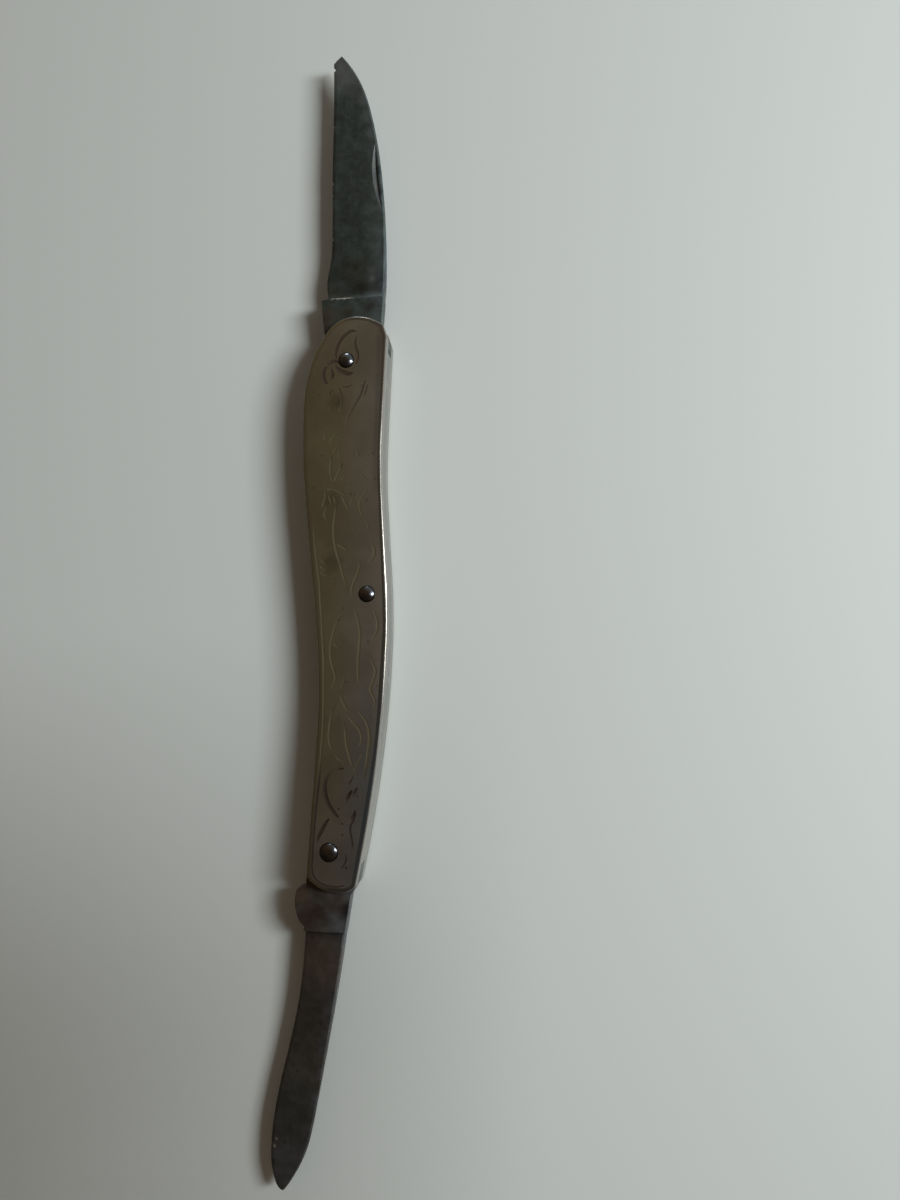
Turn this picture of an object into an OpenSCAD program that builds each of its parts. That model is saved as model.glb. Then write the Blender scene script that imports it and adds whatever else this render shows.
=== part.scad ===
// Double-ended pen knife with a serpentine all-metal handle, both blades open.
// Millimetres. The origin is midway between the two blade pivots, on the back
// cover's outer face. +Y runs to the main blade, +X to the backspring side and
// +Z to the engraved front cover. Blade outlines are drawn from their pivot,
// with the blade pointing to +Y.

/* [Handle] */
// Distance between the two blade pivots
pivot_span = 65.4; // [62:0.2:70]
// Thickness of each cover
cover_t = 1.1; // [0.8:0.05:1.6]
// Thickness of each liner
liner_t = 0.5; // [0.3:0.05:0.8]
// Width of the slot that holds the tangs and the spring
slot_t = 2.4; // [2.3:0.05:3]
// Width of the rounded shoulder round each cover
shoulder_w = 0.65; // [0.2:0.05:0.8]
// Height of the rounded shoulder round each cover
shoulder_h = 0.2; // [0.15:0.05:0.6]
// Reach of the handle past the main blade's pivot
main_reach = 6.18; // [5.6:0.02:7]
// Reach of the handle past the pen blade's pivot
pen_reach = 5.02; // [4.6:0.02:6]
// Swell of the slot edge beside the main pivot, from the centre line
belly_x = 5.66; // [5.3:0.02:6.2]
// Slot edge at the waist, from the centre line
waist_x = 2.15; // [1.8:0.05:2.6]
// Slot edge at the corner of the main end, from the centre line
slot_main_x = 3.07; // [2.9:0.01:3.3]
// Slot edge at the corner of the pen end, from the centre line
slot_pen_x = 2.85; // [2.7:0.01:3]
// Back edge at its hollow below the main pivot, from the centre line
hollow_x = 5.2; // [5:0.05:5.5]
// Back edge at its hump beside the spring pin, from the centre line
hump_x = 6.72; // [6.4:0.02:7.2]
// Back edge at the corner of the main end, from the centre line
back_main_x = 5.47; // [5.3:0.01:5.7]
// Back edge at the corner of the pen end, from the centre line
back_pen_x = 3.6; // [3.5:0.02:3.8]

/* [Pins] */
// Radius of the two pivot pins and the spring pin
pin_r = 0.8; // [0.6:0.05:0.9]
// Radius of the main pivot pin's peened head
main_head_r = 1.08; // [0.95:0.01:1.4]
// Radius of the pen pivot pin's peened head
pen_head_r = 1.25; // [0.95:0.01:1.4]
// Radius of the spring pin's peened head
spring_head_r = 1.12; // [0.95:0.01:1.4]
// Height of the domed heads above the front cover
head_h = 0.4; // [0.2:0.05:0.6]
// Radial clearance of the pins in the covers, the liners and the spring
pin_gap = 0.01; // [0.005:0.005:0.03]
// Radial clearance of the pivot pins in the tangs
pivot_gap = 0.04; // [0.02:0.01:0.08]

/* [Backspring] */
// Distance of the spring pin from the centre line
spring_pin_x = 3.88; // [3.6:0.02:4.2]
// Distance of the spring pin from the middle, toward the main blade
spring_pin_y = 0.94; // [-1:0.02:3]
// Radius of the spring's boss round its pin
boss_r = 1.6; // [1.3:0.05:1.7]
// Thickness of the spring's two arms
arm_t = 1.5; // [1.3:0.05:1.7]
// Distance from the main pivot to the spring's inner face
main_seat = 3.9; // [3.7:0.02:4]
// Distance from the pen pivot to the spring's inner face
pen_seat = 2.7; // [2.6:0.02:2.85]
// How far past each pivot the spring's ends reach
spring_end = 1.6; // [1.3:0.05:2]
// Play between the spring and a seated tang
seat_gap = 0.02; // [0.01:0.01:0.05]
// Play between the tangs and the liners on each side
side_gap = 0.05; // [0.02:0.01:0.1]

/* [Main blade] */
// Distance from the main pivot to the blade's broken tip
main_len = 45.1; // [42:0.1:46]
// Spine thickness at the heel
main_spine_t = 2.1; // [1.6:0.05:2.2]
// Spine thickness where the two closed blades pass each other
main_nest_t = 1.05; // [0.8:0.05:1.1]
// Turn of the main blade from open to closed
main_close = 177; // [175:0.5:178]
// Radius of the main tang's cam
main_cam_r = 4.1; // [4:0.02:4.2]
// Length of the nail nick
nick_len = 10; // [7:0.5:12]
// Depth of the nail nick
nick_depth = 0.4; // [0.2:0.05:0.45]
// Lean of the nail nick's wall from upright, in degrees
nick_lean = 30; // [20:1:40]

/* [Pen blade] */
// Distance from the pen pivot to the blade's tip
pen_len = 43.5; // [42:0.1:44.5]
// Spine thickness at the heel
pen_spine_t = 2; // [1.6:0.05:2.2]
// Spine thickness where the two closed blades pass each other
pen_nest_t = 1; // [0.8:0.05:1.1]
// Turn of the pen blade from open to closed
pen_close = 172; // [170:0.5:173]
// Radius of the pen tang's cam
pen_cam_r = 2.9; // [2.86:0.02:3]
// Lean of the spring's inner face at the pen end, in degrees
pen_lean = 8; // [7:0.5:9]
// Thickness left at both cutting edges
edge_t = 0.12; // [0.08:0.02:0.3]
// Width of the honed bevel along both cutting edges
hone_w = 0.4; // [0.2:0.05:0.6]
// Blade thickness where the honed bevel begins
hone_t = 0.36; // [0.3:0.02:0.5]
// Length of the slope from a tang down to its ground blade
plunge = 0.3; // [0.2:0.05:0.6]

/* [Hidden] */
$fn = 64;

half_span = pivot_span / 2;
slot_z0 = cover_t + liner_t;
slot_z1 = slot_z0 + slot_t;
handle_t = slot_z1 + liner_t + cover_t;
slot_mid = (slot_z0 + slot_z1) / 2;
tang_z0 = slot_z0 + side_gap;
tang_t = slot_t - 2 * side_gap;
tang_z1 = tang_z0 + tang_t;
nest_gap = 0.1;

// Smooth curve through knots, each written as [place, value, slope]
function span_of(k, s) = len([for (i = [1:1:len(k) - 2]) if (s >= k[i][0]) i]);
function between(a, b, t, h) =
    (2 * t ^ 3 - 3 * t ^ 2 + 1) * a[1] + (t ^ 3 - 2 * t ^ 2 + t) * h * a[2]
    + (3 * t ^ 2 - 2 * t ^ 3) * b[1] + (t ^ 3 - t ^ 2) * h * b[2];
function at(k, s) =
    let (a = k[span_of(k, s)], b = k[span_of(k, s) + 1])
    between(a, b, (s - a[0]) / (b[0] - a[0]), b[0] - a[0]);

// Even steps from a toward b, without b itself
function steps(a, b, n) = [for (i = [0:1:n - 1]) a + (b - a) * i / n];
function turned(p, a) = [p[0] * cos(a) - p[1] * sin(a), p[0] * sin(a) + p[1] * cos(a)];

// Handle outline: slot edge, main end, back edge and pen end
main_shoulder_y = half_span + 3.55;
main_corner_y = half_span + 3.3;
pen_shoulder_y = -half_span - 3.2;
pen_corner_y = -half_span - 4.1;
slot_edge = [
    [pen_shoulder_y, -slot_pen_x, 0.02],
    [-14.5, -waist_x, 0],
    [half_span - 7.2, -belly_x, 0],
    [main_shoulder_y, -slot_main_x, 0.62]
];
main_end_drop = 1.18;
main_end_inset = 0.57;
main_end = [
    [-slot_main_x, main_shoulder_y, 1.6],
    [1.3, half_span + main_reach, 0],
    [back_main_x - main_end_inset, half_span + main_reach - main_end_drop, -0.65]
];
back_edge = [
    [pen_corner_y, back_pen_x, 0.18],
    [-4.3, hump_x, 0],
    [half_span - 12.2, hollow_x, 0],
    [main_corner_y, back_main_x, 0.02]
];
pen_end = [
    [-slot_pen_x, pen_shoulder_y, -1.2],
    [1.9, -half_span - pen_reach, 0],
    [back_pen_x - 0.1, pen_corner_y - 0.2, 1]
];
side_n = 36;
end_n = 14;
handle_ring = concat(
    [for (x = steps(pen_end[0][0], pen_end[2][0], end_n)) [x, at(pen_end, x)]],
    [pen_end[2], for (y = steps(pen_corner_y, main_corner_y, side_n)) [at(back_edge, y), y]],
    [[back_main_x, main_corner_y]],
    [for (x = steps(main_end[2][0], main_end[0][0], end_n)) [x, at(main_end, x)]],
    [for (y = steps(main_shoulder_y, pen_shoulder_y, side_n)) [at(slot_edge, y), y]]
);

// The ring moved inward by d
function unit(v) = v / norm(v);
function inward(u) = [-u[1], u[0]];
function inset(r, d) = [
    for (i = [0:len(r) - 1])
    let (
        p = [r[i][0], r[i][1]],
        before = r[(i + len(r) - 1) % len(r)],
        after = r[(i + 1) % len(r)],
        m = inward(unit(p - [before[0], before[1]])),
        n = inward(unit([after[0], after[1]] - p))
    )
    p + d * (m + n) / (1 + m * n)
];

// Solid skin over a row of rings with the same even count. Each end is closed by
// a strip of triangles that runs from the ring's point number start to the opposite one.
module skin(rings, start = 0) {
    n = len(rings[0]);
    last = (len(rings) - 1) * n;
    sides = [
        for (k = [0:len(rings) - 2], i = [0:n - 1])
        let (a = k * n + i, b = k * n + (i + 1) % n)
        each [[a, a + n, b + n], [a, b + n, b]]
    ];
    strip = [
        for (i = [0:n / 2 - 1])
        let (
            a = (start + i) % n, b = (start + i + 1) % n,
            c = (start + n - i - 1) % n, d = (start + n - i) % n
        )
        each concat(i > 0 ? [[a, b, d]] : [], i < n / 2 - 1 ? [[b, c, d]] : [])
    ];
    head = [for (t = strip) [last + t[2], last + t[1], last + t[0]]];
    polyhedron([for (r = rings) each r], concat(strip, sides, head), convexity = 10);
}

module pin_holes(gap) {
    for (p = [[0, half_span], [0, -half_span], [spring_pin_x, spring_pin_y]])
        translate([p[0], p[1], -1]) cylinder(r = pin_r + gap, h = handle_t + 2);
}

// Cover plate lying on its inner face, with a rounded shoulder above
shoulder_n = 5;
module cover_blank() {
    flat = [for (p = handle_ring) [p[0], p[1], 0]];
    curved = [
        for (k = [0:shoulder_n])
        let (a = 90 * k / shoulder_n, z = cover_t - shoulder_h * (1 - sin(a)))
        [for (p = inset(handle_ring, shoulder_w * (1 - cos(a)))) [p[0], p[1], z]]
    ];
    skin(concat([flat], curved), end_n / 2);
}

module front_cover() color("#5a5040") difference() {
    translate([0, 0, slot_z1 + liner_t]) cover_blank();
    pin_holes(pin_gap);
}

module back_cover() color("#5a5040") difference() {
    translate([0, 0, cover_t]) mirror([0, 0, 1]) cover_blank();
    pin_holes(pin_gap);
}

module liner(z) difference() {
    translate([0, 0, z]) linear_extrude(liner_t) polygon([for (p = handle_ring) [p[0], p[1]]]);
    pin_holes(pin_gap);
}

module front_liner() color("#8f8a80") liner(slot_z1);

module back_liner() color("#8f8a80") liner(cover_t);

// Backspring: its outer face is the handle's back edge. Its inner face runs from
// the main tang's flat over the main kick, the boss and the pen kick to the pen flat.
main_kick = [-4.13, 9.1];
pen_kick = [-4.6, 5.7];
main_touch = [0, half_span] + turned(main_kick, main_close);
pen_touch = turned(pen_kick, pen_close);
function pen_face(v) = (pen_seat - v * sin(pen_lean)) / cos(pen_lean);
boss_reach = 3.6;
inner_face = [
    [-half_span - spring_end, pen_face(spring_end), tan(pen_lean)],
    [-half_span + 1.5, pen_face(-1.5), tan(pen_lean)],
    [-half_span - pen_touch[1], pen_touch[0] + seat_gap, 0.12],
    [-14, at(back_edge, -14) - arm_t, 0.05],
    [spring_pin_y - boss_reach, hump_x - arm_t - 0.5, -0.3],
    [spring_pin_y + boss_reach, hump_x - arm_t - 0.9, 0],
    [14, at(back_edge, 14) - arm_t, -0.03],
    [main_touch[1], main_touch[0] + seat_gap, 0.03],
    [half_span - 2, main_seat, 0],
    [half_span + spring_end, main_seat, 0]
];

module backspring() color("#6f6c66") difference() {
    translate([0, 0, slot_z0]) linear_extrude(slot_t) intersection() {
        polygon([for (p = handle_ring) [p[0], p[1]]]);
        union() {
            polygon(concat(
                [for (y = steps(inner_face[0][0], inner_face[9][0], 60)) [at(inner_face, y), y]],
                [[main_seat, half_span + spring_end], [9, half_span + spring_end]],
                [[9, -half_span - spring_end]]
            ));
            translate([spring_pin_x, spring_pin_y]) circle(r = boss_r);
        }
    }
    pin_holes(pin_gap);
}

// Tang end round the pivot: a cam with one flat for the open seat and one for the
// closed seat. The lean is the direction in which the spring's face looks.
module flat_cut(a, seat) rotate(a) translate([seat - seat_gap - 20, -10]) square([20, 20]);

module tang_cam(cam_r, seat, lean, close) intersection() {
    circle(r = cam_r);
    flat_cut(lean, seat);
    flat_cut(360 + lean - close, seat);
}

// Blade body as a skin over wedge sections. Each station is [distance from the pivot,
// edge x, spine x, front z, back z, edge z, share of the grind that is reached].
function mix(a, b, t) = a + (b - a) * t;
spine_ease = 0.2;
inside = 0.01;
module wedge(stations) skin([
    for (s = stations)
    let (
        g = s[6],
        front = mix(tang_z1 - inside, s[3], g),
        back = mix(tang_z0 + inside, s[4], g),
        mid = mix(slot_mid, s[5], g),
        c = min(spine_ease, (front - back) / 4, (s[2] - s[1]) / 4) * g + inside,
        e = mix(tang_t / 2 - inside, edge_t / 2, g),
        h = mix(tang_t / 2 - inside, hone_t / 2, g),
        w = min(hone_w, (s[2] - s[1]) / 4)
    )
    [
        [s[1], s[0], mid - e], [s[1], s[0], mid + e], [s[1] + w, s[0], mid + h],
        [s[2] - c, s[0], front], [s[2], s[0], front - c],
        [s[2], s[0], back + c], [s[2] - c, s[0], back], [s[1] + w, s[0], mid - h]
    ]
]);
function ground(v, heel) = v <= heel ? 0 : v < heel + plunge ? (v - heel) / plunge : 1;
function blade_steps(heel, length, tip) = concat(
    [heel - 0.4, heel, heel + plunge],
    [for (v = steps(heel + plunge, length - tip, 30)) if (v > heel + plunge) v],
    [length - tip, length - tip / 3, length]
);

// Main blade: worn straight edge, spine sweeping down to the broken tip
main_heel = 9.4;
main_spine = [
    [6, 4.33, -0.03], [12, 4.6, 0.01], [24, 4.06, -0.11], [main_len - 9.1, 2.04, -0.26],
    [main_len - 0.9, -1.7, -0.8], [main_len, -2.5, -1]
];
main_edge = [
    [9, -3.15, -0.2], [11.5, -3.6, 0], [16.5, -3.04, 0], [30, -3.4, -0.01],
    [main_len - 0.9, -3.76, -0.05], [main_len, -2.9, 1]
];
nest_hi = slot_mid + nest_gap / 2;
nest_lo = slot_mid - nest_gap / 2;
main_front = [
    [main_heel, slot_mid + main_spine_t / 2, 0], [22, nest_hi + main_nest_t, 0],
    [main_len, nest_hi + main_nest_t - 0.15, 0]
];
main_back = [
    [main_heel, slot_mid - main_spine_t / 2, 0.02], [22, nest_hi, 0],
    [main_len, nest_hi + 0.25, 0.02]
];
main_mid = [
    [main_heel, slot_mid + 0.3, 0], [22, nest_hi + main_nest_t / 2, 0],
    [main_len, nest_hi + main_nest_t / 2, 0]
];
main_stations = [
    for (v = blade_steps(main_heel, main_len, 0.9))
    [
        v, at(main_edge, v), at(main_spine, v), at(main_front, max(v, main_heel)),
        at(main_back, max(v, main_heel)), at(main_mid, max(v, main_heel)), ground(v, main_heel)
    ]
];

module main_tang() {
    tang_cam(main_cam_r, main_seat, 0, main_close);
    polygon([
        [main_seat - seat_gap, 0],
        [main_seat - seat_gap, spring_end + seat_gap],
        [at(back_edge, half_span + spring_end), spring_end + seat_gap],
        [at(back_edge, half_span + 2.9), 2.9],
        [4.8, 4.6],
        [at(main_spine, 6), 6],
        [at(main_spine, main_heel), main_heel],
        [at(main_edge, main_heel) + 0.1, main_heel],
        [-3.25, main_heel - 0.08],
        main_kick,
        [-4, 7.6],
        [-3.7, 5.4],
        [-3.5, 4.2],
        [-3.6, 0.6]
    ]);
}

// Crescent nail nick, as the corner of a leaning square-edged wheel cuts it: a steep
// wall along the spine side that a nail can push, and a floor that rises toward the edge
nick_v = 27.2;
nick_dir = 6.9;
nick_from_spine = 0.42;
module nail_nick() {
    reach = nick_depth / cos(nick_lean);
    wheel_r = (nick_len ^ 2 / 4 + reach ^ 2) / (2 * reach);
    translate([at(main_spine, nick_v) - nick_from_spine, nick_v, at(main_front, nick_v)])
        rotate([0, nick_lean, nick_dir])
        translate([0, 0, wheel_r - reach])
        rotate([0, -90, 0])
        cylinder(r = wheel_r, h = 3 * nick_depth, $fn = 180);
}

module main_blade() color("#2f322f") translate([0, half_span, 0]) difference() {
    union() {
        translate([0, 0, tang_z0]) linear_extrude(tang_t) main_tang();
        wedge(main_stations);
    }
    translate([0, 0, -1]) cylinder(r = pin_r + pivot_gap, h = handle_t + 2);
    nail_nick();
}

// Pen blade: slender leaf with a rounded kick
pen_heel = 10.5;
pen_spine = [
    [5.7, 2.7, -0.17], [13.3, 1.77, -0.12], [31.6, -0.94, -0.16],
    [pen_len - 6, -2, -0.24], [pen_len - 1.5, -3.97, -0.62], [pen_len, -5.03, -0.85]
];
pen_edge = [
    [9, -3.3, 0], [12, -3.37, -0.03], [19.3, -3.93, -0.14], [30, -6.03, -0.2],
    [pen_len - 5, -7, 0], [pen_len - 0.75, -6.2, 0.45], [pen_len, -5.62, 1.4]
];
pen_front = [
    [pen_heel, slot_mid + pen_spine_t / 2, -0.02], [29, nest_lo, -0.01],
    [pen_len, nest_lo - 0.15, -0.01]
];
pen_back = [
    [pen_heel, slot_mid - pen_spine_t / 2, 0], [29, nest_lo - pen_nest_t, 0],
    [pen_len, nest_lo - pen_nest_t + 0.2, 0.01]
];
pen_mid = [
    [pen_heel, slot_mid, 0], [29, nest_lo - pen_nest_t / 2, 0],
    [pen_len, nest_lo - pen_nest_t / 2, 0]
];
pen_stations = [
    for (v = blade_steps(pen_heel, pen_len, 0.6))
    [
        v, at(pen_edge, v), at(pen_spine, v), at(pen_front, max(v, pen_heel)),
        at(pen_back, max(v, pen_heel)), at(pen_mid, max(v, pen_heel)), ground(v, pen_heel)
    ]
];

module pen_tang() {
    tang_cam(pen_cam_r, pen_seat, pen_lean, pen_close);
    polygon([
        [pen_face(0) - seat_gap, 0],
        [pen_face(spring_end) - seat_gap, spring_end + seat_gap],
        [at(back_edge, -half_span - spring_end), spring_end + seat_gap],
        [back_pen_x, 4.1],
        [at(pen_spine, 5.7), 5.7],
        [at(pen_spine, pen_heel), pen_heel],
        [at(pen_edge, pen_heel) + 0.05, pen_heel],
        [-3.2, 10],
        [-3.55, 9.75],
        [-3.95, 9.3],
        [-4.32, 8.6],
        [-4.6, 7.6],
        [-4.7, 6.6],
        pen_kick,
        [-4.45, 5.2],
        [-4.2, 5.03],
        [-3.3, 4.95],
        [-3.2, 3.5],
        [-2.6, 2.6],
        [-2.6, 0.6]
    ]);
}

module pen_blade() color("#242019") translate([0, -half_span, 0]) mirror([0, 1, 0]) difference() {
    union() {
        translate([0, 0, tang_z0]) linear_extrude(tang_t) pen_tang();
        wedge(pen_stations);
    }
    translate([0, 0, -1]) cylinder(r = pin_r + pivot_gap, h = handle_t + 2);
}

// Pin, flush at the back and peened to a dome at the front
module pin(head_r) {
    dome_r = (head_r ^ 2 + head_h ^ 2) / (2 * head_h);
    cylinder(r = pin_r, h = handle_t);
    translate([0, 0, handle_t]) intersection() {
        translate([0, 0, head_h - dome_r]) sphere(r = dome_r);
        cylinder(r = head_r, h = head_h);
    }
}

module main_pivot_pin() color("#6a6250") translate([0, half_span, 0]) pin(main_head_r);

module pen_pivot_pin() color("#6a6250") translate([0, -half_span, 0]) pin(pen_head_r);

module spring_pin() color("#6a6250") translate([spring_pin_x, spring_pin_y, 0]) pin(spring_head_r);

front_cover();
back_cover();
front_liner();
back_liner();
backspring();
main_blade();
pen_blade();
main_pivot_pin();
pen_pivot_pin();
spring_pin();
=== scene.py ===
# %% [markdown]
# # Dressing an old double-ended pen knife
# The knife is about 154 mm long with both blades out. It has a serpentine handle of two
# engraved nickel silver covers over thin liners, one backspring, and two worn carbon
# steel blades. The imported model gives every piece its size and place, and this notebook
# gives each one its surface. A copy of each piece is refined, and the copy stands for
# the piece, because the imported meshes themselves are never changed.

import math

import bmesh
import bpy
from mathutils import Matrix, Vector


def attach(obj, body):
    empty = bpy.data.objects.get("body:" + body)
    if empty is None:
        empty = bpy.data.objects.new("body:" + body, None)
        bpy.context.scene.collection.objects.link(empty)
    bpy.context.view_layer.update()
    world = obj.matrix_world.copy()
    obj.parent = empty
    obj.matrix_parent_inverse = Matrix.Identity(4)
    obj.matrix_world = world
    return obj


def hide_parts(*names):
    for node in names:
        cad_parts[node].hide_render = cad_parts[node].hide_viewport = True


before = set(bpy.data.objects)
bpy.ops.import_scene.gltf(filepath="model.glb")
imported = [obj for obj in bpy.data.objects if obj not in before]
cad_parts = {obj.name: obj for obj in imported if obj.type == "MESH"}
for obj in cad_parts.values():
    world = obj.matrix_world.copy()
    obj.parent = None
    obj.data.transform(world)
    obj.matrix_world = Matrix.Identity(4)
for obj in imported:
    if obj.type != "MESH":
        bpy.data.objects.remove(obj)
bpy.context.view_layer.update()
mm = 0.001
scene = bpy.context.scene

# %% [markdown]
# ## Two small helpers
# Colours are chosen as sRGB hex values, the way a colour picker gives them, but shaders
# compute in linear light. One function converts them. The other adds a node to any tree:
# its keyword arguments are the node's settings, and its dictionary gives each input a
# value or a link. The part that fills the inputs also serves a shader that is there.

# %% Helpers for colours and nodes
def linear(hex_colour):
    """Linear RGBA of an sRGB colour written as #rrggbb."""
    parts = [int(hex_colour[i:i + 2], 16) / 255 for i in (1, 3, 5)]
    curve = [p / 12.92 if p <= 0.04045 else ((p + 0.055) / 1.055) ** 2.4 for p in parts]
    return (*curve, 1.0)


def fill(tree, node, inputs):
    """Gives sockets, by name or number, a value or a link from an output."""
    for key, value in inputs.items():
        if isinstance(value, bpy.types.NodeSocket):
            tree.links.new(value, node.inputs[key])
        else:
            node.inputs[key].default_value = value


def add(tree, kind, inputs=None, **settings):
    """Adds a node with its settings and fills its sockets."""
    node = tree.nodes.new(kind)
    for name, value in settings.items():
        setattr(node, name, value)
    fill(tree, node, inputs or {})
    return node


print("mid grey in linear light:", round(linear("#808080")[0], 3))

# %% [markdown]
# ## The camera
# The knife was seen from close above: 122 mm over the table, 27 mm to the right of the
# handle's middle, looking slightly left. From there a sliver of the right-hand side
# shows. A 27 mm lens on a 36 mm frame gives the wide view of a phone. Three angles could
# turn the camera, but they are hard to read and to correct. So it is placed by three
# vectors: where it stands, what it looks at, and which way is up.

# %% Camera at the viewing angle
camera_place = Vector((26.826, -9.826, 122.263)) * mm
camera_aim = Vector((14.384, 0.794, 0)) * mm
camera_up = Vector((-0.01558, 0.99599, 0.08810))

ahead = (camera_aim - camera_place).normalized()
right = ahead.cross(camera_up).normalized()
turn = Matrix((right, right.cross(ahead), -ahead)).transposed()
camera = bpy.data.objects.new("camera", bpy.data.cameras.new("camera"))
camera.matrix_world = Matrix.Translation(camera_place) @ turn.to_4x4()
camera.data.lens = 27
camera.data.sensor_width = 36
camera.data.clip_start = 1 * mm
scene.collection.objects.link(camera)
scene.camera = camera
print("camera looks along", [round(v, 3) for v in ahead])

# %% [markdown]
# ## Table and shading card
# A pale plain table lies a hair under the knife. Matt laminate has no glint of its own,
# so the knife's shadow stays soft and plain on it. The lower left of the table is darker.
# A darker colour could give that, but a real shade also weakens the knife's shadow there.
# So a card of dark felt, which throws hardly any light back, hangs above the lens on the
# right. It takes part of the side light from that corner, and the camera doesn't see it.
# Table and card are flat sheets of one face, made by one function.

# %% Table and shading card
scene.view_settings.view_transform = "Standard"
table_half = 900
table_gap = 0.02
card_low, card_high = (38, -90), (109, -2)
card_height = 130


def stage_sheet(name, low, high, z, material, colour, rough):
    """A level sheet between two corners in mm, with a plain finish. It isn't a piece."""
    (left, front), (right, back) = low, high
    corners = [(left, front), (right, front), (right, back), (left, back)]
    mesh = bpy.data.meshes.new(name)
    mesh.from_pydata([Vector((x, y, z)) * mm for x, y in corners], [], [(0, 1, 2, 3)])
    finish = bpy.data.materials.new(material)
    finish.use_nodes = True
    shader = finish.node_tree.nodes["Principled BSDF"]
    fill(finish.node_tree, shader, {"Base Color": linear(colour), "Roughness": rough})
    mesh.materials.append(finish)
    sheet = bpy.data.objects.new(name, mesh)
    scene.collection.objects.link(sheet)
    print(name, "of", material.replace("_", " "), "at height", z, "mm")
    return sheet


table = stage_sheet(
    "table", (-table_half, -table_half), (table_half, table_half), -table_gap,
    "pale_matt_laminate", "#c1c7c4", 0.7)
card = stage_sheet("shade_card", card_low, card_high, card_height, "dark_felt", "#2e2621", 0.5)
card.visible_camera = False
card.visible_glossy = False

# %% [markdown]
# ## Two windows
# The main light is a tall soft window on the right, about 43 degrees up and near enough
# that the table grows darker toward the left. A small window stands far behind and low:
# it hardly lights the table, but the domes of the pins and the rim of the handle's end
# catch it. A sun lamp would light the table evenly. Area lights grow weaker with distance
# and give the shadows soft edges, as real windows do.

# %% Side window and far window
daylight = (0.97, 1.0, 1.02)
for name, place_mm, width_mm, height_mm, watts in (
        ("side_window", (350, 58, 320), 100, 215, 2.35),
        ("far_window", (-60, 600, 90), 130, 130, 0.5)):
    lamp = bpy.data.objects.new(name, bpy.data.lights.new(name, "AREA"))
    lamp.data.shape = "RECTANGLE"
    lamp.data.size = width_mm * mm
    lamp.data.size_y = height_mm * mm
    lamp.data.energy = watts
    lamp.data.color = daylight
    lamp.location = Vector(place_mm) * mm
    lamp.rotation_euler = (-lamp.location).to_track_quat("-Z", "Y").to_euler()
    scene.collection.objects.link(lamp)
    print(name, round(lamp.location.length / mm), "mm away")

# %% [markdown]
# ## A dim room
# Metal shows the room around it, so the room matters as much as the lamps. It is warm
# and dark at the left, brighter toward the windows, and dark again almost straight
# overhead, so a polished face that looks up shows dark. Walls could be built, but this
# metal is too dull to show more of them than a few soft tones. So the world's colour is a
# ramp along the direction to the windows, and a dark round spot is mixed in overhead.

# %% Room
window_side = (0.55, 0.75, -0.35)
overhead = (0.3, -0.1, 0.95)
spot_inner, spot_outer = 0.25, 0.55
room =bpy.data.worlds.new("dim_room")
room.use_nodes = True
scene.world = room
sky = room.node_tree
direction = add(sky, "ShaderNodeTexCoord").outputs["Generated"]
to_windows = add(sky, "ShaderNodeVectorMath", {
    0: direction, 1: window_side}, operation="DOT_PRODUCT").outputs["Value"]
wall = add(sky, "ShaderNodeValToRGB", {0: add(sky, "ShaderNodeMapRange", {
    0: to_windows, 1: -1, 2: 1}).outputs[0]})
wall.color_ramp.elements[0].color = linear("#33291f")
wall.color_ramp.elements[1].color = linear("#d3d8d7")
wall.color_ramp.elements.new(0.5).color = linear("#7a5f42")
from_spot = add(sky, "ShaderNodeVectorMath", {
    0: direction, 1: overhead}, operation="DISTANCE").outputs["Value"]
bright = add(sky, "ShaderNodeMapRange", {
    0: from_spot, 1: spot_inner, 2: spot_outer, 3: 0.35, 4: 1.0})
seen = add(sky, "ShaderNodeMix", {
    0: bright.outputs[0], 6: linear("#241f1a"), 7: wall.outputs["Color"]}, data_type="RGBA")
fill(sky, sky.nodes["Background"], {"Color": seen.outputs[2], "Strength": 0.82})
print("room nodes:", len(sky.nodes))

# %% [markdown]
# ## Copies to refine
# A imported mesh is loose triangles. A copy of it is merged so that its faces share their
# corners, which smooth shading, bevels and cuts all need. Once a piece is finished, its
# edges sharper than a set angle are marked, and the normals are weighted by face area,
# so that the large flat faces stay flat and only the narrow rounded ones blend.

# %% Helpers that copy, finish and place a piece
merge_reach = 0.002 * mm


def merged_copy(node, name):
    """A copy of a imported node's mesh as a new object, with its loose corners merged."""
    mesh = bpy.data.meshes.new(name)
    body = bmesh.new()
    body.from_mesh(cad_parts[node].data)
    bmesh.ops.remove_doubles(body, verts=body.verts, dist=merge_reach)
    bmesh.ops.dissolve_degenerate(body, edges=body.edges, dist=merge_reach)
    body.to_mesh(mesh)
    body.free()
    piece = bpy.data.objects.new(name, mesh)
    scene.collection.objects.link(piece)
    return piece


def shade(piece, sharp=30):
    """Smooth shading up to an angle in degrees, weighted by face area."""
    mesh = piece.data
    mesh.shade_smooth()
    mesh.set_sharp_from_angle(angle=math.radians(sharp))
    for edge in bordered_by_two_finishes(mesh):
        mesh.edges[edge].use_edge_sharp = True
    weigh = piece.modifiers.new("weigh normals", "WEIGHTED_NORMAL")
    weigh.keep_sharp = True


def bordered_by_two_finishes(mesh):
    """Numbers of the edges whose faces carry different materials."""
    finish = {}
    for face in mesh.polygons:
        for key in face.edge_keys:
            finish.setdefault(key, set()).add(face.material_index)
    return [edge.index for edge in mesh.edges if len(finish.get(edge.key, ())) > 1]


def place(piece, node, body):
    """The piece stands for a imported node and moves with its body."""
    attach(piece, body)
    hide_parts(node)
    print(piece.name, "faces:", len(piece.data.polygons))


print("corners nearer than", round(merge_reach / mm, 3), "mm are merged")

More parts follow.
